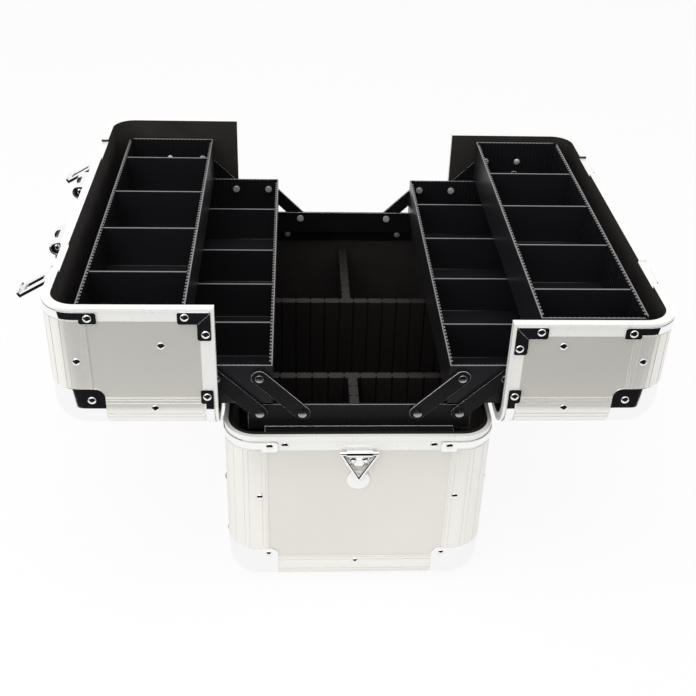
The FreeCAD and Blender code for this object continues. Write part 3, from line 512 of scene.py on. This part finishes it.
# Dividers in the box: thick moulded boards, black, set between the ends and sides of the box.
# Narrow slits run down both faces at even steps, and smaller cards can be pushed into them.
def apply_all(piece):
    """Apply the piece's modifiers in turn."""
    bpy.ops.object.select_all(action="DESELECT")
    bpy.context.view_layer.objects.active = piece
    piece.select_set(True)
    for step in list(piece.modifiers):
        bpy.ops.object.modifier_apply(modifier=step.name)


def repeat(piece, step, count):
    """Lay out a row of the piece, one step apart."""
    row = piece.modifiers.new("row", "ARRAY")
    row.use_relative_offset = False
    row.use_constant_offset = True
    row.constant_offset_displace = step
    row.count = count
    apply_all(piece)


board_black = new_finish("board_black", (0.017, 0.0145, 0.0135), 0.0, 0.5, 0.25)
moulded = grain(board_black, 300.0)
feed(board_black, "Roughness", spread(board_black, moulded, 0.44, 0.6))
slit_pitch = 0.0153
slit_wide = 0.0014
slit_deep = 0.0025
boards = merged_copy("base_dividers", "_slitted", board_black)
bpy.ops.mesh.separate(type="LOOSE")
halves = list(bpy.context.selected_objects)
for board in halves:
    corners = [Vector(corner) for corner in board.bound_box]
    low = Vector(map(min, *corners))
    high = Vector(map(max, *corners))
    along, across = (0, 1) if high.x - low.x > high.y - low.y else (1, 0)
    count = int((high[along] - low[along]) / slit_pitch)
    step = Vector()
    step[along] = slit_pitch
    size = Vector((slit_wide, slit_wide, (high.z - low.z) * 2.0))
    size[across] = slit_deep * 2.0
    for face in (low[across], high[across]):
        place = (low + high) / 2 - step * (count - 1) / 2
        place[across] = face
        saw = start_block(place - size / 2, place + size / 2)
        repeat(saw, step, count)
        slits = board.modifiers.new("slits", "BOOLEAN")
        slits.object = saw
        slits.operation = "DIFFERENCE"
        apply_all(board)
        bpy.data.objects.remove(saw)
join_to(boards, halves)
roll_edges(boards, 0.0003, 1)
stand_for(boards, "base_dividers")

# Trays: black plastic mouldings with gloss faces. Fine upright ribs stand inside their walls, close together,
# and hold the dividers wherever these are pushed in.
moulding_colour = (0.011, 0.011, 0.013)
top_highlight_start = 0.0005
top_highlight_full = 0.0001
tray_wall = 0.0012
tray_edge = 0.0003
side_rib_wide = 0.0026
side_rib_proud = 0.0017
side_rib_pitch = 0.0053
end_rib_wide = 0.0022
end_rib_proud = 0.0008
end_rib_pitch = 0.004
rib_round = 0.0002
rib_below_edge = 0.0002
corner_clip = 0.0045
row_start = 0.006


def pick_faces(piece, wanted):
    """Go into edit mode with only the wanted faces selected."""
    bpy.ops.object.mode_set(mode="OBJECT")
    for group in (piece.data.vertices, piece.data.edges):
        for item in group:
            item.select = False
    for face in piece.data.polygons:
        face.select = wanted(face)
    bpy.ops.object.mode_set(mode="EDIT")
    bpy.ops.mesh.select_mode(type="FACE")


def moulding_with_top_highlight(name, edge_z):
    """Gloss black plastic, with a painted highlight in grey along its top edge."""
    finish = new_finish(name, moulding_colour, 0.0, 0.3, 0.35)
    nodes = finish.node_tree.nodes
    place = nodes.new("ShaderNodeTexCoord")
    axes = nodes.new("ShaderNodeSeparateXYZ")
    finish.node_tree.links.new(place.outputs["Object"], axes.inputs["Vector"])
    # Painted highlight: the top half millimetre of the walls, ribs and cards is tinted grey, as if lit from
    # above.
    top_highlight = spread(finish, axes.outputs["Z"], 0.0, 1.0, edge_z - top_highlight_start, edge_z - top_highlight_full)
    feed(finish, "Base Color", tint(finish, top_highlight, moulding_colour, (0.21, 0.21, 0.215), 0.0, 1.0))
    haze = grain(finish, 160.0)
    feed(finish, "Roughness", spread(finish, haze, 0.28, 0.34))
    return finish


def rib_row(foot, peak, inward, along, pitch, length):
    """A row of ribs like the one between foot and peak."""
    rib = start_block(Vector(map(min, foot, peak)), Vector(map(max, foot, peak)))
    pick_faces(rib, lambda face: face.normal.dot(inward) > 0.9)
    bpy.ops.mesh.bevel(offset=rib_round, segments=1)
    bpy.ops.object.mode_set(mode="OBJECT")
    repeat(rib, along * pitch, int(length / pitch))
    return rib


def clip_corners(tray, low, high):
    """Cut off the two top corners that pass the lid's lining."""
    outer = high.x if low.x > 0.0 else low.x
    out = math.copysign(1.0, outer)
    for sy, end in ((-1.0, low.y), (1.0, high.y)):
        bpy.ops.object.mode_set(mode="EDIT")
        bpy.ops.mesh.select_all(action="SELECT")
        bpy.ops.mesh.bisect(plane_co=(outer - out * corner_clip, end, high.z), plane_no=(out, sy, 1.0),
                            use_fill=True, clear_outer=True)
        bpy.ops.object.mode_set(mode="OBJECT")


def mould_tray(name, finish, clipped):
    """One tray with its four rows of ribs."""
    low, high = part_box(name)
    tray = start_block(low, high)
    pick_faces(tray, lambda face: face.normal.z > 0.9)
    bpy.ops.mesh.inset(thickness=tray_wall)
    bpy.ops.mesh.extrude_region_move(TRANSFORM_OT_translate={"value": (0.0, 0.0, low.z + tray_wall - high.z)})
    bpy.ops.object.mode_set(mode="OBJECT")
    if clipped:
        clip_corners(tray, low, high)
    soft = tray.modifiers.new("soft_edges", "BEVEL")
    soft.width = tray_edge
    soft.segments = 2
    soft.limit_method = "ANGLE"
    apply_all(tray)
    floor = low.z + tray_wall
    rim = high.z - rib_below_edge
    rows = []
    for sign, wall in ((1.0, low.x + tray_wall), (-1.0, high.x - tray_wall)):
        start = low.y + row_start
        foot = Vector((wall, start, floor))
        peak = Vector((wall + sign * side_rib_proud, start + side_rib_wide, rim))
        rows.append(rib_row(foot, peak, Vector((sign, 0.0, 0.0)), Vector((0.0, 1.0, 0.0)), side_rib_pitch,
                            high.y - low.y - row_start * 2))
    for sign, wall in ((1.0, low.y + tray_wall), (-1.0, high.y - tray_wall)):
        start = low.x + row_start
        foot = Vector((start, wall, floor))
        peak = Vector((start + end_rib_wide, wall + sign * end_rib_proud, rim))
        rows.append(rib_row(foot, peak, Vector((0.0, sign, 0.0)), Vector((1.0, 0.0, 0.0)), end_rib_pitch,
                            high.x - low.x - row_start * 2))
    join_to(tray, rows)
    tray.name = name + "_ribbed"
    tray.data.materials.clear()
    tray.data.materials.append(finish)
    return tray


for height in ("upper", "lower"):
    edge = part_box("left_" + height + "_tray")[1].z
    tray_black = moulding_with_top_highlight(height + "_tray_black", edge)
    for side in ("left", "right"):
        name = side + "_" + height + "_tray"
        tray = mould_tray(name, tray_black, height == "upper")
        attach(tray, name)
        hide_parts(name)

# Dividers of the trays: thin black plastic cards, cut from sheet and pushed down between the ribs.
# Their top edges are painted paler than their faces, a painted highlight.
for height in ("upper", "lower"):
    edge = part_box("left_" + height + "_tray_dividers")[1].z
    card_finish = moulding_with_top_highlight(height + "_divider_black", edge)
    dress(card_finish, "left_" + height + "_tray_dividers", "right_" + height + "_tray_dividers")

# Handle: a moulded black grip on two legs, which turns on the pins of its chromed brackets.
# The brackets are pressed boxes with hollow ends, riveted to the top of the left lid. The inner faces of the
# ends get the grip's black as painted shade.
grip_black_and_cup_shade = new_finish("grip_black_and_cup_shade", (0.02, 0.02, 0.021), 0.0, 0.5)
pores = grain(grip_black_and_cup_shade, 500.0)
feed(grip_black_and_cup_shade, "Roughness", spread(grip_black_and_cup_shade, pores, 0.42, 0.6))
relief(grip_black_and_cup_shade, pores, 0.0002, 0.4)
rounded_copy("handle", grip_black_and_cup_shade, 0.0012, 3)
bracket_long = 0.0345
ear_radius = 0.0065
ear_far = 0.0105
ear_slack = 0.0001
pin_radius = 0.0037
facing_in = -0.0005
brackets = merged_copy("handle_brackets", "_dressed", chrome, grip_black_and_cup_shade)
low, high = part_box("handle_brackets")
axis_x = low.x + ear_radius
axis_z = high.z - ear_radius
bracket_y = high.y - bracket_long / 2
# Painted shade: the floor and inner walls of each hollow end, outside the pin, take the black finish.
for face in brackets.data.polygons:
    off = Vector((face.center.x - axis_x, 0.0, face.center.z - axis_z))
    past = abs(abs(face.center.y) - bracket_y) - ear_far
    is_floor = abs(past) < ear_slack and abs(face.normal.y) > 0.9
    is_wall = past > 0.0 and abs(face.normal.y) < 0.3 and face.normal.dot(off) < facing_in
    if is_floor or (is_wall and off.length > pin_radius):
        face.material_index = 1
roll_edges(brackets, 0.0004, 3)
keep_flats(brackets)
stand_for(brackets, "handle_brackets")

# Latches: chromed levers with a window and a hooked tip, turning on pins in folded plates on the left lid.
# The hooks catch behind the lips of the catches on the right lid.
for name in ("latch_plates", "latch_catches", "front_latch_lever", "back_latch_lever"):
    rounded_copy(name, chrome, 0.0004)

# Strap fittings on the two ends: a chromed plate rolled round the top bar of a triangular wire ring.
# A round pale rubber button under each ring keeps it off the panel.
for name in ("strap_plates", "front_strap_ring", "back_strap_ring"):
    rounded_copy(name, chrome, 0.0003)
pale_rubber = new_finish("pale_rubber", (0.93, 0.925, 0.91), 0.0, 0.5)
bloom = grain(pale_rubber, 240.0)
feed(pale_rubber, "Roughness", spread(pale_rubber, bloom, 0.44, 0.6))
rounded_copy("strap_bumpers", pale_rubber, 0.0007, 3)
